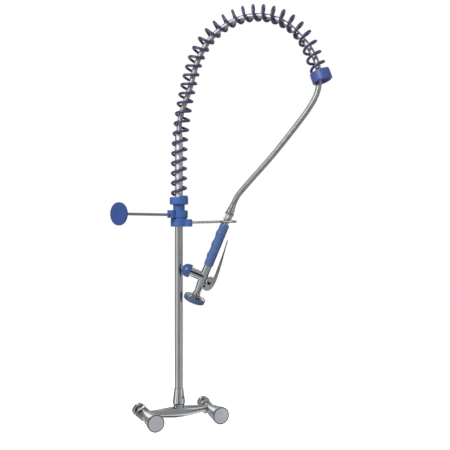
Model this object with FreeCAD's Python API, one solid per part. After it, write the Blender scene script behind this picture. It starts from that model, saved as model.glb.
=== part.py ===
import FreeCAD, Part
import math
import os

from FreeCAD import Placement, Rotation, Vector

os.makedirs("parts", exist_ok=True)

# A wall mixer with a sprung riser hose and a spray gun, in millimetres.
# X runs along the mixer, -Y towards the user, Z up. The origin is on the wall, midway between the inlets.
running = 0.06  # radial clearance of a running fit
loose = 0.3  # gap between pieces that may touch
inlet_spacing = 160.0  # between the two wall inlets, the unions turned outwards
body_spacing = 150.0  # between the two inlets of the mixer body
body_reach = 60.0  # wall face to the axis of the mixer's bar and riser

# Wall unions and nuts, measured from the wall
stub_r = 10.48  # G 1/2 male
stub_length = 12.0
thread_relief_r = 9.6
thread_relief = 2.0
union_r = 14.2
union_rise = 4.8
union_depth = 13.0
union_overlap = 2.0
union_bore_r = 7.0
tail_r = 10.4
tail_length = 7.0
tail_flange_r = 12.7
tail_flange = 2.0
washer_thickness = 2.0
union_thread_r = 13.22  # G 3/4 male
nut_across_flats = 28.0
nut_turn = 18.0
nut_length = 16.0
nut_lip = 3.0

# Mixer body
bar_r_middle = 12.6
bar_lift_middle = 2.1
bar_shoulder = 35.0
bar_r_shoulder = 10.3
bar_lift_shoulder = 2.6
bar_end = 62.0
bar_r_end = 7.8
bar_lift_end = 3.4
waterway_r = 3.2
waterway_out = 2.0
waist_at = 53.0
waist_r = 10.8
neck_front = 17.0  # the bar's axis to the face that the handle turns against
neck_front_r = 13.1
boss_r = 12.3
boss_top = 20.5

# Valve inserts, measured outwards from the bar's axis
port_r = 3.5
seat_floor = -9.0
seal_thickness = 2.0
disc_r = 7.0
disc_thickness = 2.5
disc_hole_r = 2.0
disc_hole_out = 4.0
seal_wall = 1.0
gland_r = 9.2
gland_flange_r = 11.0
gland_flange = 1.6
gland_nose = 27.0
gland_closes = 6.0
spindle_r = 4.0
spindle_blade_width = 3.0
spindle_blade_length = 11.0
spindle_blade = 2.0

# Handles, measured outwards from the bar's axis
handle_rear = 17.6
handle_rear_r = 13.4
handle_length = 46.4
handle_r = 19.1
rim = 3.0
handle_cavity_r = 9.8
handle_cavity = 20.0
finger_scoop_r = 11.0
finger_scoop_depth = 3.4
finger_scoop_at = 35.0
finger_scoops = 3
index_ring_outer_r = 18.2
index_ring_inner_r = 16.7
index_ring_depth = 1.6
cap_depth = 2.5
cap_dome = 0.7
cap_ledge_r = 13.0
screw_recess = 6.0
web_thickness = 4.0
handle_screw_r = 2.0
handle_screw_head_r = 3.6
handle_screw_head = 2.4
handle_screw_bite = 10.0
screw_slot = 0.9

# Riser and its cone nut
riser_r = 9.0
riser_wall = 1.0
socket_floor = 8.0
riser_top = 616.0
riser_seal_heights = (13.0, 18.0)
riser_seal_width = 2.0
riser_groove = 0.6
nut_seal_thickness = 1.5
cone_nut_bottom_r = 14.3
cone_nut_top_r = 10.2
cone_nut_height = 33.3
nut_thread_r = 11.2
nut_thread_length = 10.0
grub_r = 2.5
grub_height = 35.8
grub_heading = -67.0
grub_groove = 0.5

# Collars on the riser
collar_edge = 0.8
collar_round = 2.2
collar_gap = 0.2
seat_top = 480.5
seat_r = 20.8
seat_height = 16.5
collar_neck_r = 13.1
collar_neck_height = 12.8
bracket_ring_r = 20.0
bracket_ring_height = 17.0
bracket_boss_r = 7.6
bracket_boss_reach = 32.0
hook_ring_r = 18.7
hook_ring_height = 19.5
hook_boss_r = 7.2
hook_boss_reach = 31.0
hook_boss_share = 0.86
hook_boss_bevel = 2.6
boss_root = 3.0  # outside the riser
set_screw_r = 2.0
set_screw_socket_r = 1.1
set_screw_socket = 1.5
set_screw_inset = 0.4
seat_screw_heading = -112.0
hook_screw_heading = -152.0

# Wall bracket
bracket_heading = 209.5
bracket_rod_r = 2.9
bracket_rod_drop = 1.7  # below the middle of its ring
bracket_clamp_at = 25.0
flange_reach = 190.0
flange_r = 23.5
flange_edge = 3.5
flange_cone = 11.0
flange_hub_r = 6.5
flange_hub = 4.0

# Hook rod, in the plane of the arch
hook_rod_r = 2.7
hook_root_rise = 8.8  # above the bottom of its collar
hook_rise = 2.3  # from its root to the fork that holds the gun
hook_centre = 112.0
hook_bend_r = 10.1
hook_prong = 20.0
hook_embed = 6.0

# Spring arch, in the upright plane through the riser
arch_heading = -47.0
wire_r = 2.25
spring_r = 15.9
crests = 31  # whole turns between the first and the last outermost point of the coils
first_crest = 7.7
last_crest = 15.9  # before the end
# Where the coils crowd or open: a share of the turns and the share of the arch that they reach
coil_marks = ((0.0, 0.0), (0.29, 0.293), (0.484, 0.476), (0.806, 0.799), (1.0, 1.0))
wire_foot = 1.2  # its tip's middle above the seat, and above the end collar
wire_foot_turn = 70.0
wire_tip_turn = 54.0
ramp_sweep = 115.0
pocket_sweep = 55.0
lean_start = 544.0
lean_radius = 725.0
lean_angle = 18.5
crown_radius = 142.0
crown_angle = 141.5
fall_length = 46.5
end_collar_r = 21.0
end_collar_bore_r = 13.0
end_collar_mouth_r = 17.0
end_collar_mouth = 9.0
end_collar_length = 22.0

# Hose
hose_r = 5.9
hose_bore_r = 4.0
hose_inset = 5.8
adapter_length = 14.0
adapter_plug = 14.0
adapter_flange = 4.0
adapter_wall = 1.0
hose_foot_run = 34.0  # upright above the adapter
hose_bend_start = 100.0  # above the riser's top, where the hose begins to follow the inside of the arch
hose_bend_end = 125.0  # before the arch's end
hose_bend_runs = 9
# The hose's last corners in the spring, outwards and upwards from the end of the arch
hose_end_corners = ((-30.57, 64.44), (-16.97, 44.64), (-7.87, 26.84), (-2.57, 10.54), (-1.27, -4.66))
# Its corners from there to the gun, reach from the riser and height
hose_free_corners = ((321.4, 715.2), (319.3, 697.2), (312.9, 680.4), (301.6, 662.2), (281.6, 636.2),
                     (250.0, 598.8), (213.4, 557.4), (182.6, 526.2), (157.6, 500.3), (143.05, 484.7))
hose_last_run = 10.5

# Spray gun, on its own axis: s outwards, u up the gun from the hook
gun_pivot_reach = 114.4
gun_lean = 24.1
gun_twist = 20.0
gun_neck_r = 6.8
gun_core_r = 7.4
gun_body_r = 8.9
gun_shoulder = 16.0
gun_tail_r = 6.9
gun_bore_r = 4.5
outlet_bore_r = 3.5
gun_nut_bottom = 4.4
gun_nut_r = 10.0
gun_nut_height = 14.5
gun_nut_collar = 4.0
o_ring_thickness = 1.6
spigot_r = 5.8
spigot_rise = 6.0
ferrule_length = 21.5
ferrule_bottom_r = 8.5
ferrule_top_r = 6.5
grip_top = 6.5
grip_length = 98.0
grip_r = 10.2
grip_swell = 2.0
grip_dip = 0.3
grip_swells = 3
grip_pitch = 26.0

# Gun valve, measured along its branch from the gun's axis
valve_at = 132.8  # below the hook
branch_r = 9.9
branch_length = 30.5
chamber_r = 7.2
chamber_start = 8.0
chamber_hole_r = 3.4
valve_cap_r = 14.7
valve_cap_depth = 21.0
valve_cap_rim = 6.5
cap_plug_r = 5.4
cap_plug = 5.0
cap_tip_r = 2.4
cap_tip = 1.6
stem_r = 2.0
stem_tip = 15.5
stem_tail = 8.0
guide_r = 4.6
guide_length = 13.0
valve_disc_r = 5.6
valve_disc = 3.0
valve_wire_r = 0.5
valve_spring_r = 4.2
valve_spring_turns = 4

# Lever, squeezed towards the grip
lever_pin_out = 8.6
lever_pin_at = 150.2
lever_pin_r = 2.0
lever_pin_head_r = 3.2
lever_pin_head = 1.2
knuckle_r = 6.0
ear_r = 4.4
ear_half = 4.6
cheek_inside = 5.0
cheek_outside = 7.4
blade_web = 2.6
eye_out = 16.4
eye_at = 137.0
eye_long = 6.8
eye_wide = 4.2
eye_rim = 2.7
striker_r = 2.0
lever_outer = ((19.2, -36.5), (23.4, -71.6), (26.6, -97.0), (28.0, -112.5), (29.0, -131.5), (27.4, -145.0),
               (23.6, -153.5), (16.8, -158.0), (8.6, -156.2))
lever_inner = ((20.4, -128.0), (21.2, -115.0), (20.8, -100.0), (19.9, -74.0), (17.4, -38.2))

# Spray head
tail_bottom = 177.0
bell_r = 22.6
bell_length = 9.0
bell_rise = 6.0
bell_lip = 1.2
face_r = 24.1
face_depth = 8.0
face_wall = 3.0
face_round = 2.0
nozzle_r = 0.7
nozzle_rings = ((1, 0.0), (6, 5.5), (12, 11.0), (18, 16.5))  # count and radius

# Worked out from the sizes above
half_spacing = body_spacing / 2
union_start = stub_length - union_overlap
union_end = union_start + union_depth
tail_face = union_end + tail_length
inlet_face = tail_face + washer_thickness
nut_start = tail_face - tail_flange - nut_lip
nut_end = nut_start + nut_length
discs_bottom = seat_floor + seal_thickness
discs_top = discs_bottom + 2 * disc_thickness
handle_front = handle_rear + handle_length
cap_floor = handle_front - cap_depth
screw_face = cap_floor - screw_recess
web_back = screw_face - web_thickness
riser_bottom = socket_floor + loose
cone_nut_bottom = boss_top + nut_seal_thickness
cone_nut_top = cone_nut_bottom + cone_nut_height
seat_bottom = seat_top - seat_height
neck_bottom = seat_bottom - collar_neck_height
bracket_ring_bottom = neck_bottom - bracket_ring_height
bracket_middle = neck_bottom - bracket_ring_height / 2 - bracket_rod_drop
hook_ring_bottom = bracket_ring_bottom - hook_ring_height
hook_ring_top = bracket_ring_bottom - collar_gap
hook_root_height = hook_ring_bottom + hook_root_rise
hook_height = hook_root_height + hook_rise
seat_screw_height = neck_bottom + collar_neck_height / 2
hook_screw_height = hook_ring_bottom + hook_ring_height / 2
bracket_root = riser_r + boss_root
hook_root = riser_r + hook_embed
straight_length = lean_start - seat_top
lean_length = lean_radius * math.radians(lean_angle)
crown_length = crown_radius * math.radians(crown_angle)
arch_length = straight_length + lean_length + crown_length + fall_length
coil_span = arch_length - first_crest - last_crest
gun_nut_top = gun_nut_bottom + gun_nut_height
ferrule_bottom = gun_nut_top + o_ring_thickness
ferrule_top = ferrule_bottom + ferrule_length
spigot_top = gun_nut_top + spigot_rise
grip_bottom = -grip_top - grip_length
bell_bottom = 2 - tail_bottom - bell_length
face_bottom = bell_bottom - face_depth

# Frames
up = Vector(0, 0, 1)
riser_frame = Placement(Vector(0, -body_reach, 0), Rotation())


def around_riser(heading, reach=0.0, height=0.0):
    """A frame at a heading round the riser, its x outwards and its z up."""
    turn = Placement(Vector(0, 0, 0), Rotation(up, heading))
    return riser_frame.multiply(turn).multiply(Placement(Vector(reach, 0, height), Rotation()))


def towards_user(side, start):
    """A frame at one inlet whose z runs from the wall towards the user, starting at a distance."""
    return Placement(Vector(side * half_spacing, -start, 0), Rotation(Vector(1, 0, 0), 90))


arch_frame = around_riser(arch_heading)
lean_turn = Rotation(Vector(0, 1, 0), gun_lean).multiply(Rotation(up, gun_twist))
gun_frame = arch_frame.multiply(Placement(Vector(gun_pivot_reach, 0, hook_height), lean_turn))
valve_frame = gun_frame.multiply(Placement(Vector(0, 0, -valve_at), Rotation(Vector(0, 1, 0), -90)))


def put(shape, frame):
    moved = shape.copy()
    moved.transformShape(frame.toMatrix())
    return moved


def rod(radius, start, end):
    """A cylinder from one point to another."""
    return Part.makeCylinder(radius, (end - start).Length, start, end - start)


def post(radius, bottom, top):
    return Part.makeCylinder(radius, top - bottom, Vector(0, 0, bottom))


def turned(points):
    """A solid of revolution about z from (radius, height) points, closed on itself."""
    corners = [Vector(radius, 0, height) for radius, height in points]
    solid = Part.Face(Part.makePolygon(corners + corners[:1])).revolve(Vector(0, 0, 0), up, 360)
    return solid.Solids[0] if solid.Solids else Part.Solid(solid)


def ring(outer, inner, bottom, top):
    return turned([(inner, bottom), (outer, bottom), (outer, top), (inner, top)])


def regular_prism(corner_r, first_turn, bottom, top, sides=6):
    turns = [math.radians(first_turn + 360 / sides * k) for k in range(sides + 1)]
    corners = [Vector(corner_r * math.cos(a), corner_r * math.sin(a), bottom) for a in turns]
    return Part.Face(Part.makePolygon(corners)).extrude(Vector(0, 0, top - bottom))


def sector(reach, start_turn, end_turn, bottom, top):
    """A wedge about z between two headings, for cutting rings."""
    turns = [math.radians(start_turn + (end_turn - start_turn) * k / 4) for k in range(5)]
    rim_points = [Vector(reach * math.cos(a), reach * math.sin(a), bottom) for a in turns]
    centre = Vector(0, 0, bottom)
    face = Part.Face(Part.makePolygon([centre] + rim_points + [centre]))
    return face.extrude(Vector(0, 0, top - bottom))


def one(shape):
    """The single solid that a cut or a join left."""
    shape = shape.removeSplitter()
    assert len(shape.Solids) == 1, len(shape.Solids)
    return shape.Solids[0]


def save(name, shape):
    assert shape.isValid(), name
    shape.exportStep("parts/" + name + ".step")
    box = shape.BoundBox
    print("%-18s %2d solids %8.0f mm3, z %.0f to %.0f" % (
        name, len(shape.Solids), shape.Volume, box.ZMin, box.ZMax))


# Mixer body, unions and nuts
def bar_ring(along, radius, lift):
    return Part.Wire(Part.makeCircle(radius, Vector(along, 0, lift), Vector(1, 0, 0)))


def make_bar():
    """The bar between the inlets, deep in the middle, its top nearly level."""
    half = [(bar_shoulder, bar_r_shoulder, bar_lift_shoulder), (bar_end, bar_r_end, bar_lift_end)]
    rings = [bar_ring(-along, radius, lift) for along, radius, lift in reversed(half)]
    rings.append(bar_ring(0, bar_r_middle, bar_lift_middle))
    rings += [bar_ring(along, radius, lift) for along, radius, lift in half]
    bar = Part.makeLoft(rings, True, False)
    ends = [rod(bar_r_end, Vector(side * bar_end, 0, bar_lift_end),
                Vector(side * half_spacing, 0, bar_lift_end))
            for side in (-1, 1)]
    return bar.fuse(ends)


def make_mixer_body():
    boss = post(boss_r, bar_lift_middle, boss_top)
    thread = post(nut_thread_r, boss_top - 1, cone_nut_bottom + nut_thread_length)
    body = put(make_bar().fuse([boss, thread]), riser_frame)
    neck_end = body_reach + neck_front
    arm = turned([(0, inlet_face), (union_thread_r, inlet_face), (union_thread_r, nut_end),
                  (waist_r + 0.8, nut_end), (waist_r, waist_at), (neck_front_r, neck_end), (0, neck_end)])
    body = one(body.fuse([put(arm, towards_user(side, 0)) for side in (-1, 1)]))
    floor = body_reach + seat_floor
    cuts = [put(post(riser_r + running, socket_floor, 2 * cone_nut_top), riser_frame),
            put(post(riser_r - riser_wall, bar_lift_middle, socket_floor), riser_frame)]
    for side in (-1, 1):
        frame = towards_user(side, 0)
        cuts.append(put(post(union_bore_r, inlet_face, floor - 3), frame))
        cuts.append(put(post(port_r, floor - 3, floor), frame))
        cuts.append(put(post(gland_r, floor, neck_end), frame))
        cuts.append(put(post(gland_flange_r, neck_end - gland_flange, neck_end + 1), frame))
    out = -body_reach - waterway_out
    cuts.append(rod(waterway_r, Vector(-half_spacing, out, bar_lift_end),
                    Vector(half_spacing, out, bar_lift_end)))
    for cut in cuts:
        body = body.cut(cut)
    return one(body)


def make_wall_union(side):
    """Threaded stub, eccentric body and flanged tail, the stub set outwards from the tail."""
    shift = side * (inlet_spacing - body_spacing) / 2
    middle = Vector(shift / 2, union_rise, union_start)
    body = Part.makeCylinder(union_r, union_depth, middle)
    body = body.makeFillet(1.6, [e for e in body.Edges if isinstance(e.Curve, Part.Circle)])
    stub = Part.makeCylinder(stub_r, union_start - thread_relief, Vector(shift, 0, 0))
    relief = Part.makeCylinder(thread_relief_r, union_start + 1, Vector(shift, 0, 0))
    tail = post(tail_r, union_end - 1, tail_face)
    flange = post(tail_flange_r, tail_face - tail_flange, tail_face)
    solid = body.fuse([stub, relief, tail, flange])
    solid = solid.cut(Part.makeCylinder(union_bore_r, union_end - 4, Vector(shift, 0, 0)))
    solid = solid.cut(post(union_bore_r, union_start + 4, tail_face))
    return put(one(solid), towards_user(side, 0))


def make_union_nut(side):
    corner_r = nut_across_flats / 2 / math.cos(math.pi / 6)
    bevel = 1.6
    envelope = turned([(0, nut_start), (corner_r - bevel, nut_start), (corner_r, nut_start + bevel),
                       (corner_r, nut_end - bevel), (corner_r - bevel, nut_end), (0, nut_end)])
    nut = regular_prism(corner_r, nut_turn, nut_start, nut_end).common(envelope)
    nut = nut.cut(post(tail_r + loose, nut_start, nut_end))
    nut = nut.cut(post(union_thread_r, nut_start + nut_lip, nut_end))
    return put(one(nut), towards_user(side, 0))


# Valve inserts, drawn upright from the bar's axis
def make_headwork():
    flange_bottom = neck_front - gland_flange
    bore_r = spindle_r + running
    body = turned([(disc_r, seat_floor), (gland_r, seat_floor), (gland_r, flange_bottom),
                   (gland_flange_r, flange_bottom), (gland_flange_r, neck_front), (gland_r, neck_front),
                   (gland_r, gland_nose - 1), (gland_r - 1, gland_nose), (bore_r, gland_nose),
                   (bore_r, gland_closes), (disc_r, gland_closes)])
    window = rod(port_r, Vector(-gland_r - 1, bar_lift_end, waterway_out),
                 Vector(gland_r + 1, bar_lift_end, waterway_out))
    return one(body.cut(window))


def make_spindle():
    """A shank whose blade turns the moving disc and leaves the disc's hole open."""
    foot = discs_top + running
    blade = Part.makeBox(spindle_blade_width, spindle_blade_length, spindle_blade,
                         Vector(-spindle_blade_width / 2, -spindle_blade_length / 2, foot))
    solid = blade.fuse(post(spindle_r, foot + spindle_blade, web_back))
    return one(solid.cut(post(handle_screw_r, web_back - handle_screw_bite, web_back)))


def make_disc(radius, bottom, hole_out):
    """A ceramic disc with one hole beside its middle."""
    disc = post(radius, bottom, bottom + disc_thickness)
    return one(disc.cut(Part.makeCylinder(disc_hole_r, 2 * disc_thickness, Vector(hole_out, 0, bottom - 1))))


def make_handle():
    ledge_r = index_ring_outer_r + loose / 3
    knob = turned([(handle_rear_r, handle_rear), (handle_r, handle_front - rim),
                   (handle_r, handle_front - rim / 2), (handle_r - 0.4, handle_front - 0.4),
                   (ledge_r, handle_front - 0.4), (ledge_r, handle_front - index_ring_depth),
                   (index_ring_inner_r, handle_front - index_ring_depth), (index_ring_inner_r, cap_floor),
                   (cap_ledge_r, cap_floor), (cap_ledge_r, screw_face), (handle_screw_r, screw_face),
                   (handle_screw_r, web_back), (spindle_r, web_back),
                   (spindle_r, handle_rear + handle_cavity),
                   (handle_cavity_r, handle_rear + handle_cavity), (handle_cavity_r, handle_rear)])
    slope = (handle_r - handle_rear_r) / (handle_length - rim)
    side_r = handle_rear_r + slope * (finger_scoop_at - handle_rear)
    out = side_r + finger_scoop_r - finger_scoop_depth
    for k in range(finger_scoops):
        turn = math.radians(180 + 360 / finger_scoops * k)
        spot = Vector(out * math.cos(turn), out * math.sin(turn), finger_scoop_at)
        knob = knob.cut(Part.makeSphere(finger_scoop_r, spot))
    return one(knob)


def make_handle_cap():
    edge = handle_front - 0.2
    dome_r = (index_ring_inner_r ** 2 + cap_dome ** 2) / 2 / cap_dome
    ball = Part.makeSphere(dome_r, Vector(0, 0, edge + cap_dome - dome_r))
    return one(post(index_ring_inner_r, cap_floor, edge + cap_dome).common(ball))


def make_handle_screw():
    shank = post(handle_screw_r, web_back - handle_screw_bite, screw_face)
    head = post(handle_screw_head_r, screw_face, screw_face + handle_screw_head)
    slot = Part.makeBox(2 * handle_screw_head_r, screw_slot, handle_screw_head,
                        Vector(-handle_screw_head_r, -screw_slot / 2, screw_face + 0.6 * handle_screw_head))
    return one(head.fuse(shank).cut(slot))


# Riser and cone nut
def grub_hole(length):
    return rod(grub_r, Vector(riser_r - grub_groove, 0, 0), Vector(riser_r - grub_groove + length, 0, 0))


def make_cone_nut():
    inside = cone_nut_bottom + nut_thread_length
    nut = turned([(nut_thread_r, cone_nut_bottom), (cone_nut_bottom_r - 0.6, cone_nut_bottom),
                  (cone_nut_bottom_r, cone_nut_bottom + 1), (cone_nut_top_r, cone_nut_top - collar_edge),
                  (cone_nut_top_r - 0.6, cone_nut_top), (riser_r + running, cone_nut_top),
                  (riser_r + running, inside), (nut_thread_r, inside)])
    hole = put(grub_hole(4 * grub_r), around_riser(grub_heading, 0, grub_height))
    return one(put(nut, riser_frame).cut(hole))


def hex_socket(outer, radius, depth):
    """A hexagonal recess that starts at a distance along x and runs inwards."""
    prism = regular_prism(radius, 0, 0, depth)
    return put(prism, Placement(Vector(outer, 0, 0), Rotation(Vector(0, 1, 0), -90)))


def make_grub_screw():
    slope = (cone_nut_bottom_r - cone_nut_top_r) / cone_nut_height
    outside = cone_nut_bottom_r - slope * (grub_height - cone_nut_bottom) - 0.5
    screw = rod(grub_r, Vector(riser_r - grub_groove + running, 0, 0), Vector(outside, 0, 0))
    screw = one(screw.cut(hex_socket(outside, 0.56 * grub_r, 1.6)))
    return put(screw, around_riser(grub_heading, 0, grub_height))


def make_riser():
    tube = ring(riser_r, riser_r - riser_wall, riser_bottom, riser_top)
    half = grub_r + loose
    grooves = [ring(riser_r + 1, riser_r - grub_groove, grub_height - half, grub_height + half)]
    for height in riser_seal_heights:
        grooves.append(ring(riser_r + 1, riser_r - riser_groove, height, height + riser_seal_width + 0.2))
    return put(one(tube.cut(Part.Compound(grooves))), riser_frame)


def make_riser_seals():
    seals = [ring(riser_r + running / 2, riser_r - riser_groove,
                  height + 0.1, height + 0.1 + riser_seal_width)
             for height in riser_seal_heights]
    return put(Part.Compound(seals), riser_frame)


def make_hose_adapter():
    """The crimped end of the hose, plugged into the top of the riser."""
    flange = riser_top + adapter_flange
    crimp_r = hose_r + adapter_wall
    body = turned([(hose_bore_r, riser_top - adapter_plug), (riser_r - riser_wall, riser_top - adapter_plug),
                   (riser_r - riser_wall, riser_top), (riser_r - 0.4, riser_top), (riser_r - 0.4, flange),
                   (crimp_r + 0.2, flange + 1), (crimp_r, riser_top + adapter_length),
                   (hose_r, riser_top + adapter_length), (hose_r, flange + 2), (hose_bore_r, flange + 2)])
    return put(body, riser_frame)


# Collars, bracket and hook
def set_screw(inner, outer):
    """A set screw lying along x, with its socket outwards."""
    screw = rod(set_screw_r, Vector(inner, 0, 0), Vector(outer, 0, 0))
    return one(screw.cut(hex_socket(outer, set_screw_socket_r, set_screw_socket)))


def turned_about_z(shape, heading, height=0.0):
    return put(shape, Placement(Vector(0, 0, height), Rotation(up, heading)))


def rounded(solid, radius):
    """A turned solid with its outermost rims rounded."""
    rims = [edge for edge in solid.Edges
            if len(edge.Vertexes) == 1 and abs(edge.Length - 2 * math.pi * radius) < 0.01]
    return one(solid.makeFillet(collar_round, rims))


def collar(radius, inner, bottom, top):
    return rounded(ring(radius, inner, bottom, top), radius)


def wire_stop(face_turn, stop_turn, pocket_turn):
    """A raised sector that the wire's tip meets, and the pocket under the wire, above a seat at height 0."""
    top = wire_foot + wire_r
    stop = ring(seat_r - collar_edge, end_collar_bore_r, -2, top)
    stop = stop.common(sector(2 * seat_r, face_turn, stop_turn, -2, top))
    outer_edge = [e for e in stop.Edges if e.BoundBox.ZMin > top - 0.01 and e.Length > seat_r]
    floor = wire_foot - wire_r - loose
    pocket = ring(spring_r + wire_r + 1.3, spring_r - wire_r - 0.9, floor, top + 1)
    pocket = pocket.common(sector(2 * seat_r, face_turn, pocket_turn, floor, top + 1))
    return stop.makeChamfer(1.2, outer_edge[:1]), pocket


def make_spring_seat():
    """The upper collar, with a ramp that ends where the spring's wire starts and a pocket under the wire."""
    neck = ring(collar_neck_r, riser_r, neck_bottom + collar_gap, seat_bottom + 1)
    seat = collar(seat_r, riser_r, seat_bottom, seat_top).fuse(neck)
    stop, pocket = wire_stop(wire_foot_turn, wire_foot_turn - ramp_sweep, wire_foot_turn + pocket_sweep)
    frame = Placement(Vector(0, 0, seat_top), Rotation(up, arch_heading))
    solid = seat.fuse(put(stop, frame)).cut(put(pocket, frame))
    hole = rod(set_screw_r, Vector(riser_r - 1, 0, 0), Vector(2 * collar_neck_r, 0, 0))
    return put(one(solid.cut(turned_about_z(hole, seat_screw_heading, seat_screw_height))), riser_frame)


def make_seat_screw():
    return put(set_screw(riser_r, collar_neck_r - set_screw_inset),
               around_riser(seat_screw_heading, 0, seat_screw_height))


def make_bracket_ring():
    solid = collar(bracket_ring_r, riser_r + running, bracket_ring_bottom, neck_bottom)
    boss = Part.makeBox(bracket_boss_reach - bracket_root, 2 * bracket_boss_r, bracket_ring_height,
                        Vector(bracket_root, -bracket_boss_r, bracket_ring_bottom))
    boss = boss.makeFillet(2.0, [e for e in boss.Edges if e.BoundBox.XMin > bracket_boss_reach - 0.1])
    solid = solid.fuse(turned_about_z(boss, bracket_heading))
    hole = rod(bracket_rod_r, Vector(bracket_root, 0, bracket_middle),
               Vector(2 * bracket_boss_reach, 0, bracket_middle))
    screw = rod(set_screw_r, Vector(bracket_clamp_at, 0, bracket_ring_bottom - 1),
                Vector(bracket_clamp_at, 0, bracket_middle))
    for cut in (hole, screw):
        solid = solid.cut(turned_about_z(cut, bracket_heading))
    return put(one(solid), riser_frame)


def make_bracket_rod():
    bar = rod(bracket_rod_r, Vector(bracket_root, 0, 0), Vector(flange_reach - flange_edge, 0, 0))
    return put(bar, around_riser(bracket_heading, 0, bracket_middle))


def make_bracket_screw():
    screw = rod(set_screw_r, Vector(bracket_clamp_at, 0, bracket_ring_bottom + set_screw_inset),
                Vector(bracket_clamp_at, 0, bracket_middle - bracket_rod_r))
    return put(screw, around_riser(bracket_heading))


def make_wall_flange():
    """The disc that is fixed to the wall, its hub on the bracket's rod."""
    rim_start = flange_reach - flange_edge
    hub_start = rim_start - flange_cone
    disc = turned([(0, hub_start), (flange_hub_r, hub_start), (flange_hub_r, hub_start + flange_hub),
                   (flange_r, rim_start), (flange_r, flange_reach - 0.6), (flange_r - 0.6, flange_reach),
                   (0, flange_reach)])
    disc = one(disc.cut(post(bracket_rod_r, hub_start - 1, rim_start)))
    lying = Placement(Vector(0, 0, 0), Rotation(Vector(0, 1, 0), 90))
    return put(disc, around_riser(bracket_heading, 0, bracket_middle).multiply(lying))


def hook_stem():
    """The straight stem of the hook rod, rising a little from its collar to the fork."""
    return Vector(hook_root, 0, hook_root_height), Vector(hook_centre - hook_bend_r, 0, hook_height)


def make_hook_collar():
    solid = collar(hook_ring_r, riser_r, hook_ring_bottom, hook_ring_top)
    boss_start = riser_r + boss_root
    boss = Part.makeBox(hook_boss_reach - boss_start, 2 * hook_boss_r, hook_boss_share * hook_ring_height,
                        Vector(boss_start, -hook_boss_r, hook_ring_bottom))
    front = [edge for edge in boss.Edges if edge.BoundBox.XMin > hook_boss_reach - 0.1]
    boss = boss.makeChamfer(hook_boss_bevel, front)
    solid = solid.fuse(turned_about_z(boss, arch_heading))
    start, end = hook_stem()
    solid = solid.cut(turned_about_z(rod(hook_rod_r, start, end), arch_heading))
    screw = rod(set_screw_r, Vector(riser_r - 1, 0, 0), Vector(2 * hook_ring_r, 0, 0))
    return put(one(solid.cut(turned_about_z(screw, hook_screw_heading, hook_screw_height))), riser_frame)


def make_hook_screw():
    return put(set_screw(riser_r, hook_ring_r - set_screw_inset),
               around_riser(hook_screw_heading, 0, hook_screw_height))


def make_hook_rod():
    """A straight stem that opens into a fork round the gun's neck."""
    start, end = hook_stem()
    centre = Vector(hook_centre, 0, hook_height)
    bend = Part.makeTorus(hook_bend_r, hook_rod_r, centre)
    corner = Vector(2 * hook_bend_r, 2 * hook_bend_r, hook_bend_r)
    rear = Part.makeBox(corner.x, 2 * corner.y, 2 * corner.z, centre - corner)
    parts = [bend.common(rear)]
    for side in (-1, 1):
        root = centre + Vector(0, side * hook_bend_r, 0)
        tip = root + Vector(hook_prong, 0, 0)
        parts.append(rod(hook_rod_r, root, tip))
        parts.append(Part.makeSphere(hook_rod_r, tip))
    return put(one(rod(hook_rod_r, start, end).fuse(parts)), arch_frame)


# The arch's centreline: straight up, a gentle lean, a round crown and a straight fall
def arch_point(along):
    """Point in the arch plane at a distance along the centreline, and how far it has turned over."""
    lean = math.radians(lean_angle)
    if along < straight_length:
        return Vector(0, 0, seat_top + along), 0.0
    along -= straight_length
    if along < lean_length:
        turn = along / lean_radius
        return Vector(lean_radius * (1 - math.cos(turn)), 0, lean_start + lean_radius * math.sin(turn)), turn
    along -= lean_length
    lean_end = Vector(lean_radius * (1 - math.cos(lean)), 0, lean_start + lean_radius * math.sin(lean))
    centre = lean_end + Vector(math.cos(lean), 0, -math.sin(lean)) * crown_radius
    turn = lean + min(along, crown_length) / crown_radius
    spot = centre - Vector(math.cos(turn), 0, -math.sin(turn)) * crown_radius
    past = max(along - crown_length, 0.0)
    return spot + Vector(math.sin(turn), 0, math.cos(turn)) * past, turn


def arch_offset(along, inset, aside=0.0):
    """A point beside the centreline: inset towards the inside of the arch, aside across it."""
    spot, turn = arch_point(along)
    return spot + Vector(math.cos(turn), 0, -math.sin(turn)) * inset + Vector(0, aside, 0)


def tangent_arc(start, end, start_way=None, end_way=None):
    """The arc between two points that leaves the start, or meets the end, in a given direction."""
    chord = end - start
    way = start_way if start_way is not None else end_way
    across = way.cross(chord)
    if across.Length < 1e-6 * chord.Length:
        return Part.LineSegment(start, end).toShape()
    inward = across.cross(way)
    inward.normalize()
    signed_radius = chord.dot(chord) / (2 * chord.dot(inward))
    centre = start + inward * signed_radius if start_way is not None else end - inward * signed_radius
    out = (start + end) * 0.5 - centre
    out.normalize()
    return Part.Arc(start, centre + out * abs(signed_radius), end).toShape()


def biarc(start, start_way, end, end_way):
    """Two tangent arcs from one point and direction to another."""
    gap = end - start
    square = 2 * (1 - start_way.dot(end_way))
    if square < 1e-9:
        reach = gap.dot(gap) / (4 * gap.dot(end_way))
    else:
        share = gap.dot(start_way + end_way)
        reach = (-share + math.sqrt(share * share + square * gap.dot(gap))) / square
    joint = (start + end + (start_way - end_way) * reach) * 0.5
    return [tangent_arc(start, joint, start_way=start_way), tangent_arc(joint, end, end_way=end_way)]


def pipe(edges, radius):
    """A round tube along tangent edges."""
    start = edges[0].valueAt(edges[0].FirstParameter)
    way = edges[0].tangentAt(edges[0].FirstParameter)
    shell = Part.BRepOffsetAPI.MakePipeShell(Part.Wire(edges))
    shell.add(Part.Wire(Part.makeCircle(radius, start, way)))
    shell.build()
    shell.makeSolid()
    return shell.shape()


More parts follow.
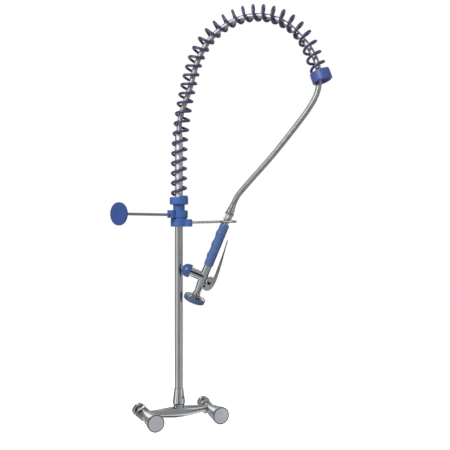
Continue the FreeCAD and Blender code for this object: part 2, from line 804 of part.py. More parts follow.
def report_tube(name, edges, radius, solid, more):
    length = sum(edge.Length for edge in edges)
    ratio = solid.Volume / (math.pi * radius ** 2 * length)
    print("%s: length %.0f, volume ratio %.4f, %s" % (name, length, ratio, more))


def coil_share(share):
    """The share of the arch that a share of the turns reaches."""
    for (turns_a, arch_a), (turns_b, arch_b) in zip(coil_marks, coil_marks[1:]):
        if share <= turns_b:
            break
    return arch_a + (arch_b - arch_a) * (share - turns_a) / (turns_b - turns_a)


def coil_point(turns):
    """A point of the wire, counted in turns from the first outermost point of the coils."""
    along = first_crest + coil_span * coil_share(turns / crests)
    angle = math.pi + 2 * math.pi * turns
    return arch_offset(along, spring_r * math.cos(angle), spring_r * math.sin(angle))


def coil_way(turns):
    return (coil_point(turns + 0.002) - coil_point(turns - 0.002)).normalize()


def coil_end(along, angle, sense):
    """The wire's end, straight across the arch for one thickness: its tip and where it starts to bend."""
    turn = math.radians(angle)
    tip = arch_offset(along, spring_r * math.cos(turn), spring_r * math.sin(turn))
    ahead = arch_offset(along, -math.sin(turn), math.cos(turn)) - arch_offset(along, 0)
    return tip, tip + ahead * (2 * wire_r * sense), ahead


def make_spring():
    tip, knee, way = coil_end(wire_foot, wire_foot_turn, 1)
    quarters = 4 * crests + 2
    edges = [Part.LineSegment(tip, knee).toShape()] + biarc(knee, way, coil_point(0), coil_way(0))
    for quarter in range(quarters):
        here, there = quarter / 4, (quarter + 1) / 4
        edges += biarc(coil_point(here), coil_way(here), coil_point(there), coil_way(there))
    tip, knee, way = coil_end(arch_length - wire_foot, wire_tip_turn, -1)
    last = quarters / 4
    edges += biarc(coil_point(last), coil_way(last), knee, way)
    edges.append(Part.LineSegment(knee, tip).toShape())
    radii = [edge.Curve.Radius for edge in edges if isinstance(edge.Curve, Part.Circle)]
    points = [point for edge in edges for point in edge.discretize(5)]
    gap = min((a - b).Length for i, a in enumerate(points) for b in points[i + 24:i + 90]) - 2 * wire_r
    solid = pipe(edges, wire_r)
    report_tube("spring", edges, wire_r, solid,
                "least arc radius %.1f, least gap to itself %.2f" % (min(radii), gap))
    return put(solid, arch_frame)


def make_end_collar():
    """The lower collar of the arch, drawn with the spring above it, its mouth flared for the hose."""
    body = turned([(end_collar_bore_r, 0), (end_collar_bore_r, end_collar_mouth - end_collar_length),
                   (end_collar_mouth_r, -end_collar_length), (end_collar_r, -end_collar_length),
                   (end_collar_r, 0)])
    body = rounded(body, end_collar_r)
    # Seen from above, the wire's turns run the other way round than in the arch's own frame
    face_turn = -wire_tip_turn
    stop, pocket = wire_stop(face_turn, face_turn - ramp_sweep, face_turn + pocket_sweep)
    body = one(body.fuse(stop).cut(pocket))
    centre, turn = arch_point(arch_length)
    upside = Placement(Vector(0, 0, 0), Rotation(Vector(1, 0, 0), 180))
    frame = Placement(centre, Rotation(Vector(0, 1, 0), math.degrees(turn))).multiply(upside)
    return put(put(body, frame), arch_frame)


def route(points):
    """Straight runs joined by tangent arcs, as large as the shorter run beside each corner allows."""
    edges = []
    radii = []
    here = points[0]
    for before, corner, after in zip(points, points[1:], points[2:]):
        back = before - corner
        ahead = after - corner
        cut = 0.45 * min(back.Length, ahead.Length)
        back.normalize()
        ahead.normalize()
        half_turn = (math.pi - back.getAngle(ahead)) / 2
        radius = cut / math.tan(half_turn)
        middle = (back + ahead).normalize()
        first = corner + back * cut
        last = corner + ahead * cut
        edges.append(Part.LineSegment(here, first).toShape())
        inner = corner + middle * (radius / math.cos(half_turn) - radius)
        edges.append(Part.Arc(first, inner, last).toShape())
        radii.append(radius)
        here = last
    edges.append(Part.LineSegment(here, points[-1]).toShape())
    return edges, radii


def make_hose(name, points):
    edges, radii = route(points)
    solid = pipe(edges, hose_r)
    report_tube(name, edges, hose_r, solid, "radii " + " ".join("%.0f" % radius for radius in radii))
    return put(solid, arch_frame)


def held_hose_points():
    """Up from the adapter, along the inside of the arch and down to the end collar."""
    foot = riser_top + adapter_flange + 2
    points = [Vector(0, 0, foot), Vector(0, 0, foot + hose_foot_run)]
    first = riser_top - seat_top + hose_bend_start
    last = arch_length - hose_bend_end
    for k in range(hose_bend_runs + 1):
        points.append(arch_offset(first + (last - first) * k / hose_bend_runs, hose_inset))
    end = arch_point(arch_length)[0]
    return points + [end + Vector(out, 0, up) for out, up in hose_end_corners]


def on_gun_axis(height):
    lean = math.radians(gun_lean)
    return Vector(gun_pivot_reach + height * math.sin(lean), 0, hook_height + height * math.cos(lean))


def free_hose_points():
    """From the end collar to the gun's ferrule, where the gun pulls the hose straight."""
    corners = [Vector(reach, 0, height) for reach, height in hose_free_corners]
    held_end = held_hose_points()[-1]
    start = held_end + (corners[0] - held_end).normalize() * loose
    return [start] + corners + [on_gun_axis(ferrule_top + hose_last_run), on_gun_axis(ferrule_top)]


# Spray gun, drawn upright on its own axis and leant into place
def make_ferrule():
    middle = ferrule_bottom + 0.45 * ferrule_length
    inner = spigot_r + running
    crimp = turned([(inner, ferrule_bottom), (ferrule_bottom_r, ferrule_bottom),
                    (ferrule_bottom_r - 0.2, middle), (ferrule_top_r + 0.8, middle + 2),
                    (ferrule_top_r, ferrule_top - 1), (ferrule_top_r - 0.4, ferrule_top),
                    (hose_bore_r, ferrule_top), (hose_bore_r, spigot_top + loose),
                    (inner, spigot_top + loose)])
    return put(crimp, gun_frame)


def make_gun_nut():
    half_flat = gun_nut_r * math.cos(math.pi / 6)
    envelope = turned([(0, gun_nut_bottom), (half_flat, gun_nut_bottom), (gun_nut_r, gun_nut_bottom + 1.4),
                       (gun_nut_r, gun_nut_top), (0, gun_nut_top)])
    collars = [post(half_flat + 0.4, gun_nut_bottom, gun_nut_top),
               post(gun_nut_r - 0.4, gun_nut_top - gun_nut_collar, gun_nut_top)]
    nut = regular_prism(gun_nut_r, 30, gun_nut_bottom, gun_nut_top).common(envelope).fuse(collars)
    return put(one(nut.cut(post(spigot_r, gun_nut_bottom - 1, gun_nut_top + 1))), gun_frame)


def make_gun_body():
    """The casting: spigot and core under the grip, then the valve body with branch, guide, ear and tail."""
    shoulder = -valve_at - gun_shoulder
    profile = turned([(0, spigot_top), (spigot_r, spigot_top), (spigot_r, gun_nut_bottom),
                      (gun_neck_r, gun_nut_bottom), (gun_neck_r, -grip_top), (gun_core_r, -grip_top),
                      (gun_core_r, grip_bottom), (gun_body_r - 0.4, grip_bottom),
                      (gun_body_r, grip_bottom - 1.0), (gun_body_r, shoulder),
                      (gun_tail_r, bell_rise - tail_bottom),
                      (gun_tail_r, -tail_bottom), (0, -tail_bottom)])
    axis_point = Vector(0, 0, -valve_at)
    branch = rod(branch_r, axis_point, axis_point - Vector(branch_length, 0, 0))
    guide = rod(guide_r, axis_point, axis_point + Vector(guide_length, 0, 0))
    pin_point = Vector(lever_pin_out, 0, -lever_pin_at)
    across = Vector(0, ear_half, 0)
    ear = rod(ear_r, pin_point - across, pin_point + across)
    body = one(profile.fuse([branch, guide, ear]))
    cuts = [post(gun_bore_r, -valve_at, spigot_top), post(outlet_bore_r, -tail_bottom, -valve_at),
            rod(chamber_r, axis_point - Vector(chamber_start, 0, 0),
                axis_point - Vector(branch_length, 0, 0)),
            rod(chamber_hole_r, axis_point, axis_point - Vector(chamber_start, 0, 0)),
            rod(stem_r + running, axis_point, axis_point + Vector(guide_length + 1, 0, 0)),
            rod(lever_pin_r, pin_point - across * 3, pin_point + across * 3)]
    room = knuckle_r + loose
    for side in (-1, 1):
        flank = rod(room, pin_point + across * side, pin_point + across * (3 * side))
        cuts.append(flank)
    for cut in cuts:
        body = body.cut(cut)
    return put(one(body), gun_frame)


def make_finger_swells():
    """A wavy body of revolution, a little off the gun's axis, that swells out of the grip on one side."""
    start = grip_bottom + (grip_length - grip_swells * grip_pitch) / 2
    depth = grip_swell + grip_dip
    outline = []
    for k in range(8 * grip_swells + 1):
        radius = grip_r - grip_dip - depth * (1 + math.cos(math.pi * k / 4)) / 2
        outline.append(Vector(radius, 0, start + grip_pitch * k / 8))
    curve = Part.BSplineCurve()
    curve.interpolate(outline)
    foot = Vector(0, 0, outline[0].z)
    head = Vector(0, 0, outline[-1].z)
    sides = [Part.LineSegment(outline[-1], head).toShape(), Part.LineSegment(head, foot).toShape(),
             Part.LineSegment(foot, outline[0]).toShape()]
    solid = Part.Face(Part.Wire([curve.toShape()] + sides)).revolve(Vector(0, 0, 0), up, 360)
    return put(solid, Placement(Vector(-grip_swell, 0, 0), Rotation()))


def make_grip():
    """A round sleeve with finger swells on the side towards the riser."""
    sleeve = turned([(0, grip_bottom), (grip_r - 0.8, grip_bottom), (grip_r, grip_bottom + 1.2),
                     (grip_r, -grip_top - 3), (grip_r - 1.6, -grip_top), (0, -grip_top)])
    sleeve = sleeve.fuse(make_finger_swells())
    return put(one(sleeve.cut(post(gun_core_r, grip_bottom - 1, 1 - grip_top))), gun_frame)


def make_valve_cap():
    top = branch_length + valve_cap_depth
    dome = valve_cap_depth - valve_cap_rim
    dome_r = (valve_cap_r ** 2 + dome ** 2) / 2 / dome
    ball = Part.makeSphere(dome_r, Vector(0, 0, top - dome_r))
    skirt = post(valve_cap_r, 0, branch_length + valve_cap_rim)
    cap = post(valve_cap_r, branch_length, top).common(ball.fuse(skirt))
    back_edge = [e for e in cap.Edges if e.BoundBox.ZMax < branch_length + 0.01]
    cap = cap.makeFillet(1.8, back_edge)
    cap = cap.fuse(ring(chamber_r, cap_plug_r, branch_length - cap_plug, branch_length))
    return put(one(cap.cut(post(cap_tip_r, branch_length + cap_plug, 2 * top))), valve_frame)


def make_cap_tip():
    top = branch_length + valve_cap_depth
    pin = turned([(0, branch_length + cap_plug), (cap_tip_r, branch_length + cap_plug),
                  (cap_tip_r, top + cap_tip - 0.8), (cap_tip_r - 0.8, top + cap_tip), (0, top + cap_tip)])
    return put(pin, valve_frame)


def make_valve_stem():
    """The stem runs through the guide to the lever and carries the disc that shuts the chamber's hole."""
    stem = post(stem_r, -stem_tip, chamber_start + valve_disc + stem_tail)
    disc = post(valve_disc_r, chamber_start + running, chamber_start + valve_disc)
    return put(one(stem.fuse(disc)), valve_frame)


def make_valve_spring():
    """A small compression spring between the valve disc and the cap."""
    start = chamber_start + valve_disc + valve_wire_r + 0.1
    pitch = (branch_length - start - valve_wire_r - 0.1) / valve_spring_turns

    def spot(turns):
        angle = 2 * math.pi * turns
        return Vector(valve_spring_r * math.cos(angle), valve_spring_r * math.sin(angle),
                      start + pitch * turns)

    def way(turns):
        return (spot(turns + 0.002) - spot(turns - 0.002)).normalize()

    edges = []
    for quarter in range(4 * valve_spring_turns):
        here, there = quarter / 4, (quarter + 1) / 4
        edges += biarc(spot(here), way(here), spot(there), way(there))
    return put(pipe(edges, valve_wire_r), valve_frame)


def across_gun(radius, out, at, half):
    """A round bar across the gun at a place beside its axis."""
    return rod(radius, Vector(out, -half, -at), Vector(out, half, -at))


def make_lever_pin():
    reach = cheek_outside + loose
    pin = across_gun(lever_pin_r, lever_pin_out, lever_pin_at, reach + lever_pin_head)
    heads = [rod(lever_pin_head_r, Vector(lever_pin_out, side * reach, -lever_pin_at),
                 Vector(lever_pin_out, side * (reach + lever_pin_head), -lever_pin_at)) for side in (-1, 1)]
    return put(one(pin.fuse(heads)), gun_frame)


def smooth_edge(points):
    curve = Part.BSplineCurve()
    curve.interpolate([Vector(out, 0, height) for out, height in points])
    return curve.toShape()


def plate(face, half):
    """A face in the gun's plane thickened to both sides."""
    solid = face.extrude(Vector(0, 2 * half, 0))
    solid.translate(Vector(0, -half, 0))
    return solid


def eye_oval(long_half, wide_half):
    centre = Vector(eye_out, 0, -eye_at)
    oval = Part.Ellipse(centre + Vector(0, 0, long_half), centre + Vector(wide_half, 0, 0), centre)
    return Part.Face(Part.Wire(oval.toShape()))


def make_lever():
    """A hollow casting: cheeks with an oval eye, a bar between them that meets the stem, and a thin blade."""
    tip_out, tip_in = [Vector(out, 0, height) for out, height in (lever_outer[0], lever_inner[-1])]
    low_out, low_in = [Vector(out, 0, height) for out, height in (lever_outer[-1], lever_inner[0])]
    pin_point = Vector(lever_pin_out, 0, -lever_pin_at)
    profile = Part.Wire([smooth_edge(lever_outer), Part.LineSegment(low_out, pin_point).toShape(),
                         Part.LineSegment(pin_point, low_in).toShape(), smooth_edge(lever_inner),
                         Part.LineSegment(tip_in, tip_out).toShape()])
    knuckle = across_gun(knuckle_r, lever_pin_out, lever_pin_at, cheek_outside)
    rim_oval = plate(eye_oval(eye_long + eye_rim, eye_wide + eye_rim), cheek_outside)
    lever = one(plate(Part.Face(profile), cheek_outside).fuse([knuckle, rim_oval]))
    web_outer = [(out - blade_web, height) for out, height in lever_outer[2:6]]
    inside = [Vector(out, 0, height) for out, height in web_outer]
    corners = [Vector(-20, 0, inside[0].z), Vector(-20, 0, -lever_pin_at - 20),
               Vector(18, 0, -lever_pin_at - 20)]
    hollow = plate(Part.Face(Part.makePolygon(inside + corners[::-1] + inside[:1])), cheek_inside)
    lever = lever.cut(hollow)
    near_cheek = Vector(0, -2 * cheek_outside, 0)
    lever = lever.cut(eye_oval(eye_long, eye_wide).extrude(near_cheek))
    lever = lever.cut(across_gun(lever_pin_r + running, lever_pin_out, lever_pin_at, 2 * cheek_outside))
    striker = across_gun(striker_r, stem_tip + loose + striker_r, valve_at, cheek_outside - 0.5)
    return put(one(lever.fuse(striker)), gun_frame)


def make_bell():
    top = bell_rise - tail_bottom
    bell = turned([(gun_tail_r, top), (gun_tail_r + 1.4, top), (gun_tail_r + 2.0, top - 4),
                   (gun_tail_r + 6.0, top - 7), (bell_r, bell_bottom + bell_lip), (bell_r, bell_bottom),
                   (outlet_bore_r, bell_bottom), (outlet_bore_r, -tail_bottom), (gun_tail_r, -tail_bottom)])
    return put(one(bell), gun_frame)


def make_spray_face():
    plug_r = bell_r - 3
    disc = turned([(0, face_bottom), (face_r - face_round, face_bottom), (face_r, face_bottom + face_round),
                   (face_r, bell_bottom + 1.2), (face_r - 1.2, bell_bottom + 2.4),
                   (bell_r, bell_bottom + 2.4),
                   (bell_r, bell_bottom), (plug_r, bell_bottom), (plug_r, face_bottom + face_wall),
                   (0, face_bottom + face_wall)])
    for count, radius in nozzle_rings:
        for k in range(count):
            turn = 2 * math.pi * k / count
            spot = Vector(radius * math.cos(turn), radius * math.sin(turn), face_bottom - 1)
            disc = disc.cut(Part.makeCylinder(nozzle_r, face_wall + 2, spot))
    return put(one(disc), gun_frame)


def save_all():
    nut_seal = ring(cone_nut_bottom_r - 1.4, nut_thread_r, boss_top, cone_nut_bottom)
    pieces = {
        "mixer_body": make_mixer_body(),
        "riser_nut": make_cone_nut(),
        "grub_screw": make_grub_screw(),
        "nut_seal": put(nut_seal, riser_frame),
        "riser_tube": make_riser(),
        "riser_seals": make_riser_seals(),
        "hose_adapter": make_hose_adapter(),
        "spring_seat": make_spring_seat(),
        "seat_screw": make_seat_screw(),
        "bracket_ring": make_bracket_ring(),
        "bracket_rod": make_bracket_rod(),
        "bracket_screw": make_bracket_screw(),
        "wall_flange": make_wall_flange(),
        "hook_collar": make_hook_collar(),
        "hook_rod": make_hook_rod(),
        "hook_screw": make_hook_screw(),
        "spring": make_spring(),
        "end_collar": make_end_collar(),
        "hose_in_spring": make_hose("hose_in_spring", held_hose_points()),
        "hose_free": make_hose("hose_free", free_hose_points()),
        "hose_ferrule": make_ferrule(),
        "gun_o_ring": put(ring(ferrule_bottom_r + 1.2, spigot_r, gun_nut_top, ferrule_bottom), gun_frame),
        "gun_nut": make_gun_nut(),
        "gun_body": make_gun_body(),
        "grip_sleeve": make_grip(),
        "valve_cap": make_valve_cap(),
        "cap_tip": make_cap_tip(),
        "valve_stem": make_valve_stem(),
        "valve_spring": make_valve_spring(),
        "lever": make_lever(),
        "lever_pin": make_lever_pin(),
        "spray_bell": make_bell(),
        "spray_face": make_spray_face(),
    }
    for side, name in ((-1, "hot"), (1, "cold")):
        front = towards_user(side, body_reach)
        pieces["wall_union_" + name] = make_wall_union(side)
        pieces["union_nut_" + name] = make_union_nut(side)
        washer = ring(tail_flange_r, union_bore_r, tail_face, inlet_face)
        pieces["union_washer_" + name] = put(washer, towards_user(side, 0))
        pieces["headwork_" + name] = put(make_headwork(), front)
        seal = ring(disc_r, disc_r - seal_wall, seat_floor, discs_bottom)
        pieces["seat_seal_" + name] = put(seal, front)
        pieces["fixed_disc_" + name] = put(make_disc(disc_r, discs_bottom, -disc_hole_out), front)
        moving = make_disc(disc_r - loose, discs_bottom + disc_thickness, disc_hole_out)
        pieces["moving_disc_" + name] = put(moving, front)
        pieces["spindle_" + name] = put(make_spindle(), front)
        pieces["handle_" + name] = put(make_handle(), front)
        index = ring(index_ring_outer_r, index_ring_inner_r, handle_front - index_ring_depth, handle_front)
        pieces["index_ring_" + name] = put(index, front)
        pieces["handle_cap_" + name] = put(make_handle_cap(), front)
        pieces["handle_screw_" + name] = put(make_handle_screw(), front)
    for name, shape in pieces.items():
        save(name, shape)


save_all()
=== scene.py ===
import bpy
import math
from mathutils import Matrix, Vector


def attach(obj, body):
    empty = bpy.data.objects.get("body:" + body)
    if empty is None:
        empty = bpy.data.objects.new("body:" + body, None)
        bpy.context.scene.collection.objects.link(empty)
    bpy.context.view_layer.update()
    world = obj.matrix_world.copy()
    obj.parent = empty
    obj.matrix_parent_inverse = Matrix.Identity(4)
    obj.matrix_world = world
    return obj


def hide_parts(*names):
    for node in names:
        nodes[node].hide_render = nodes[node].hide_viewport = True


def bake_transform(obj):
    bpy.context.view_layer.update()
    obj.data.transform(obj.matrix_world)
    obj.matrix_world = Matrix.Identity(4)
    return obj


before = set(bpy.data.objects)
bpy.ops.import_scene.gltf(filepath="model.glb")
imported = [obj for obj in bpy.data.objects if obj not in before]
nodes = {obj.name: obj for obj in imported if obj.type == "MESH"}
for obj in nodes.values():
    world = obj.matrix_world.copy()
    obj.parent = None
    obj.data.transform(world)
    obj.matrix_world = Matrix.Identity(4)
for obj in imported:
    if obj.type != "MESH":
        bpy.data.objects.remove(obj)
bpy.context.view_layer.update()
print("frame loaded,", len(nodes), "nodes")


def addObject(name, data):
    made = bpy.data.objects.new(name, data)
    bpy.context.scene.collection.objects.link(made)
    return made


# Camera at the photograph's viewing angle, held level
photoCamera = {
    "location": (-0.5493, -1.5264, 0.4185), "turn": -24.3, "lens": 56.0, "sensor": 36.0,
    "clipStart": 0.01, "clipEnd": 50.0,
}


def makeCamera(values):
    data = bpy.data.cameras.new("photoCamera")
    data.lens = values["lens"]
    data.sensor_width = values["sensor"]
    data.clip_start = values["clipStart"]
    data.clip_end = values["clipEnd"]
    camera = addObject("photoCamera", data)
    camera.location = values["location"]
    camera.rotation_euler = (math.radians(90), 0, math.radians(values["turn"]))
    bpy.context.scene.camera = camera


makeCamera(photoCamera)
print("camera placed")


# Arch of spring and hose, in metres and degrees: its upright plane, then its line in that plane
arch = {
    "heading": -47.0, "riserY": -0.060,
    "seatTop": 0.4805, "leanStart": 0.544,  # heights where it starts and where it begins to lean
    "leanRadius": 0.725, "leanAngle": 18.5,
    "crownRadius": 0.142, "crownAngle": 141.5, "fall": 0.0465,
}
straightLength = arch["leanStart"] - arch["seatTop"]
leanLength = arch["leanRadius"] * math.radians(arch["leanAngle"])
crownLength = arch["crownRadius"] * math.radians(arch["crownAngle"])
archLength = straightLength + leanLength + crownLength + arch["fall"]


def archPlace(reach, height, aside=0.0):
    # a place in the arch's plane, in the part's own frame
    turn = math.radians(arch["heading"])
    x = reach * math.cos(turn) - aside * math.sin(turn)
    y = reach * math.sin(turn) + aside * math.cos(turn)
    return Vector((x, arch["riserY"] + y, height))


def archLine(along):
    # reach, height and how far the line has turned over
    lean = math.radians(arch["leanAngle"])
    if along < straightLength:
        return 0.0, arch["seatTop"] + along, 0.0
    along -= straightLength
    radius = arch["leanRadius"]
    if along < leanLength:
        turn = along / radius
        return radius * (1 - math.cos(turn)), arch["leanStart"] + radius * math.sin(turn), turn
    along -= leanLength
    crown = arch["crownRadius"]
    centreReach = radius * (1 - math.cos(lean)) + math.cos(lean) * crown
    centreHeight = arch["leanStart"] + radius * math.sin(lean) - math.sin(lean) * crown
    turn = lean + min(along, crownLength) / crown
    past = max(along - crownLength, 0.0)
    reach = centreReach - math.cos(turn) * crown + math.sin(turn) * past
    height = centreHeight + math.sin(turn) * crown + math.cos(turn) * past
    return reach, height, turn


def besideArch(along, inset, aside=0.0):
    reach, height, turn = archLine(along)
    return archPlace(reach + math.cos(turn) * inset, height - math.sin(turn) * inset, aside)


# Hoses: control points of one smooth curve each, then a tube with its length and girth unwrapped
hose = {
    "radius": 0.0059,
    "foot": 0.622, "footRun": 0.034,  # where it leaves the riser, and its first straight run
    # inside the spring it follows the arch a little inwards, up to innerEnd before the arch's end
    "inset": 0.0052, "innerStart": 0.2355, "innerEnd": 0.125, "innerSteps": 9,
    # reach and height of the corners through the end collar, then down to the gun
    "endCorners": [
        (0.2909, 0.7983), (0.3045, 0.7785), (0.3136, 0.7607), (0.3189, 0.7444), (0.3202, 0.7292),
    ],
    "freeCorners": [
        (0.3214, 0.7152), (0.3193, 0.6972), (0.3129, 0.6804), (0.3016, 0.6622), (0.2816, 0.6362),
        (0.2500, 0.5988), (0.2134, 0.5574), (0.1826, 0.5262), (0.1576, 0.5003), (0.14305, 0.4847),
        (0.13584, 0.47372), (0.13155, 0.46414),
    ],
    "curveSteps": 16, "step": 0.0025, "around": 32,
}


def nurbsLine(name, points, curveSteps):
    # the points that the smooth curve itself goes through
    curve = bpy.data.curves.new(name + "Line", "CURVE")
    curve.dimensions = "3D"
    curve.resolution_u = curveSteps
    spline = curve.splines.new("NURBS")
    spline.points.add(len(points) - 1)
    for controlPoint, place in zip(spline.points, points):
        controlPoint.co = (*place, 1.0)
    spline.order_u = 3
    spline.use_endpoint_u = True
    holder = addObject(name + "Line", curve)
    bpy.context.view_layer.update()
    mesh = bpy.data.meshes.new_from_object(holder)
    line = [v.co.copy() for v in mesh.vertices]
    bpy.data.meshes.remove(mesh)
    bpy.data.objects.remove(holder)
    bpy.data.curves.remove(curve)
    return line


def lineLength(line):
    return sum((b - a).length for a, b in zip(line, line[1:]))


def evenLine(line, step):
    # the same line with evenly spaced points
    total = lineLength(line)
    count = max(2, round(total / step))
    out = [line[0].copy()]
    done, k, wanted = 0.0, 0, total / count
    while k < len(line) - 1 and len(out) < count:
        run = (line[k + 1] - line[k]).length
        if done + run >= wanted * len(out):
            out.append(line[k].lerp(line[k + 1], (wanted * len(out) - done) / run))
        else:
            done += run
            k += 1
    out.append(line[-1].copy())
    return out


def tubeMesh(name, line, radius, around):
    # a round tube whose second texture coordinate is its length in metres
    tangents = [(b - a).normalized() for a, b in zip(line, line[1:])]
    between = [(a + b).normalized() for a, b in zip(tangents, tangents[1:])]
    ways = [tangents[0], *between, tangents[-1]]
    side = ways[0].orthogonal().normalized()
    verts, lengths = [], []
    done = 0.0
    for k, (place, way) in enumerate(zip(line, ways)):
        if k:
            side = (side - way * side.dot(way)).normalized()
            done += (place - line[k - 1]).length
        other = way.cross(side)
        lengths.append(done)
        for j in range(around):
            turn = 2 * math.pi * j / around
            verts.append(place + (side * math.cos(turn) + other * math.sin(turn)) * radius)
    faces, coords = [], []
    for k in range(len(line) - 1):
        for j in range(around):
            after = (j + 1) % around
            here, ahead = k * around, (k + 1) * around
            faces.append((here + j, here + after, ahead + after, ahead + j))
            left, right, low, high = j / around, (j + 1) / around, lengths[k], lengths[k + 1]
            coords += [(left, low), (right, low), (right, high), (left, high)]
    last = (len(line) - 1) * around
    faces += [tuple(reversed(range(around))), tuple(range(last, last + around))]
    coords += [(0.0, 0.0)] * around + [(0.0, done)] * around
    mesh = bpy.data.meshes.new(name)
    mesh.from_pydata(verts, [], faces)
    layer = mesh.uv_layers.new(name="tube")
    for corner, uv in zip(layer.data, coords):
        corner.uv = uv
    for polygon in mesh.polygons:
        polygon.use_smooth = len(polygon.vertices) == 4  # the two ends stay flat
    mesh.update()
    return addObject(name, mesh)


def makeHeldHose(values):
    points = [archPlace(0, values["foot"]), archPlace(0, values["foot"] + values["footRun"])]
    last = archLength - values["innerEnd"]
    for k in range(values["innerSteps"] + 1):
        along = values["innerStart"] + (last - values["innerStart"]) * k / values["innerSteps"]
        points.append(besideArch(along, values["inset"]))
    points += [archPlace(reach, height) for reach, height in values["endCorners"]]
    line = evenLine(nurbsLine("heldHose", points, values["curveSteps"]), values["step"])
    piece = tubeMesh("heldHose", line, values["radius"], values["around"])
    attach(piece, "column")
    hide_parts("hose_in_spring")
    return piece


def makeFreeHose(values):
    corners = values["endCorners"][-1:] + values["freeCorners"]
    points = [archPlace(reach, height) for reach, height in corners]
    line = evenLine(nurbsLine("freeHose", points, values["curveSteps"]), values["step"])
    piece = tubeMesh("freeHose", line, values["radius"], values["around"])
    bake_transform(piece)
    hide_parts("hose_free")
    return piece


heldHose = makeHeldHose(hose)
freeHose = makeFreeHose(hose)
print("hoses made")


# Spring: one wire wound round the arch, crowded where the photograph shows it crowded
spring = {
    "wire": 0.0030, "radius": 0.0155, "turns": 31.5, "crests": 31,
    "firstCrest": 0.0077, "lastCrest": 0.0159,  # from the two ends of the arch
    "foot": 0.0012, "footTurn": 70.0, "tipTurn": 54.0,
    "footEase": 1.7, "tipEase": 1.5,  # how late the end turns leave the flat
    # share of the turns, share of the arch
    "marks": [(0.0, 0.0), (0.29, 0.293), (0.484, 0.476), (0.806, 0.799), (1.0, 1.0)],
    "perTurn": 30, "around": 14,
}


def coilShare(share, marks):
    # the share of the arch that a share of the turns reaches
    for (turnsA, archA), (turnsB, archB) in zip(marks, marks[1:]):
        if share <= turnsB:
            break
    return archA + (archB - archA) * (share - turnsA) / (turnsB - turnsA)


def makeSpring(values):
    span = archLength - values["firstCrest"] - values["lastCrest"]
    lead = (180.0 - values["footTurn"]) / 360
    tail = values["tipTurn"] / 360
    turns, radius = values["turns"], values["radius"]

    def alongAt(t):
        return values["firstCrest"] + span * coilShare(t / values["crests"], values["marks"])

    line = []
    steps = round((turns + lead + tail) * values["perTurn"])
    for k in range(steps + 1):
        t = -lead + (turns + lead + tail) * k / steps
        if t < 0:
            share = 1 + t / lead
            along = values["foot"] + (alongAt(0) - values["foot"]) * share ** values["footEase"]
        elif t > turns:
            share = 1 - (t - turns) / tail
            end = archLength - values["foot"]
            along = end - (end - alongAt(turns)) * share ** values["tipEase"]
        else:
            along = alongAt(t)
        angle = math.pi + 2 * math.pi * t
        line.append(besideArch(along, radius * math.cos(angle), radius * math.sin(angle)))
    piece = tubeMesh("archSpring", line, values["wire"], values["around"])
    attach(piece, "column")
    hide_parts("spring")
    return piece


# Spring of the valve, inside the gun's branch: squeezed between the valve's disc and the cap
valveSpring = {
    "origin": (0.041038, -0.104008, 0.304576),
    "way": (-0.835145, 0.394086, 0.383705), "side": (0.278481, -0.298634, 0.912834),
    "foot": 0.0116, "top": 0.0299,  # its ends along the way, from the origin
    "radius": 0.0042, "wire": 0.0005, "turns": 4, "perTurn": 28, "around": 8,
}


def makeValveSpring(values):
    origin, way, side = [Vector(values[key]) for key in ("origin", "way", "side")]
    other = way.cross(side)
    steps = values["turns"] * values["perTurn"]
    line = []
    for k in range(steps + 1):
        turn = 2 * math.pi * k / values["perTurn"]
        height = values["foot"] + (values["top"] - values["foot"]) * k / steps
        outwards = side * math.cos(turn) + other * math.sin(turn)
        line.append(origin + way * height + outwards * values["radius"])
    piece = tubeMesh("valveSpring", line, values["wire"], values["around"])
    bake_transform(piece)
    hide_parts("valve_spring")
    return piece


archSpring = makeSpring(spring)
valveCoil = makeValveSpring(valveSpring)
print("springs made")


# Nodes that the effects and the materials are built from
def feed(tree, socket, value):
    if isinstance(value, bpy.types.NodeSocket):
        tree.links.new(value, socket)
    else:
        socket.default_value = value


def mathNode(tree, operation, *values):
    node = tree.nodes.new("ShaderNodeMath")
    node.operation = operation
    for socket, value in zip(node.inputs, values):
        feed(tree, socket, value)
    return node.outputs[0]


def rangeNode(tree, value, low, high, outLow, outHigh):
    node = tree.nodes.new("ShaderNodeMapRange")
    for name, number in (("Value", value), ("From Min", low), ("From Max", high),
                         ("To Min", outLow), ("To Max", outHigh)):
        feed(tree, node.inputs[name], number)
    return node.outputs["Result"]


def noiseNode(tree, vector, scale, detail, roughness):
    node = tree.nodes.new("ShaderNodeTexNoise")
    for name, value in (("Vector", vector), ("Scale", scale),
                        ("Detail", detail), ("Roughness", roughness)):
        feed(tree, node.inputs[name], value)
    return node.outputs["Fac"]


# Numbers of the colour sockets of Blender's mix node
mixSockets = {"share": 0, "first": 6, "second": 7, "result": 2}


def mixNode(tree, share, first, second):
    # the first colour where the share is 0, the second where it is 1
    node = tree.nodes.new("ShaderNodeMix")
    node.data_type = "RGBA"
    for name, value in (("share", share), ("first", first), ("second", second)):
        feed(tree, node.inputs[mixSockets[name]], value)
    return node.outputs[mixSockets["result"]]


# Shared effects, as node groups
def newGroup(name, inputs, outputs):
    group = bpy.data.node_groups.new(name, "ShaderNodeTree")
    for socket, kind, value in inputs:
        made = group.interface.new_socket(socket, in_out="INPUT", socket_type=kind)
        if value is not None:
            made.default_value = value
    for socket, kind in outputs:
        group.interface.new_socket(socket, in_out="OUTPUT", socket_type=kind)
    return group, group.nodes.new("NodeGroupInput"), group.nodes.new("NodeGroupOutput")


smudge = {
    "broad": (5.0, 0.6), "fine": (2.0, 0.5), "fineTimes": 6.0, "fineShare": 0.35,
    "from": 0.38, "to": 0.68,
}


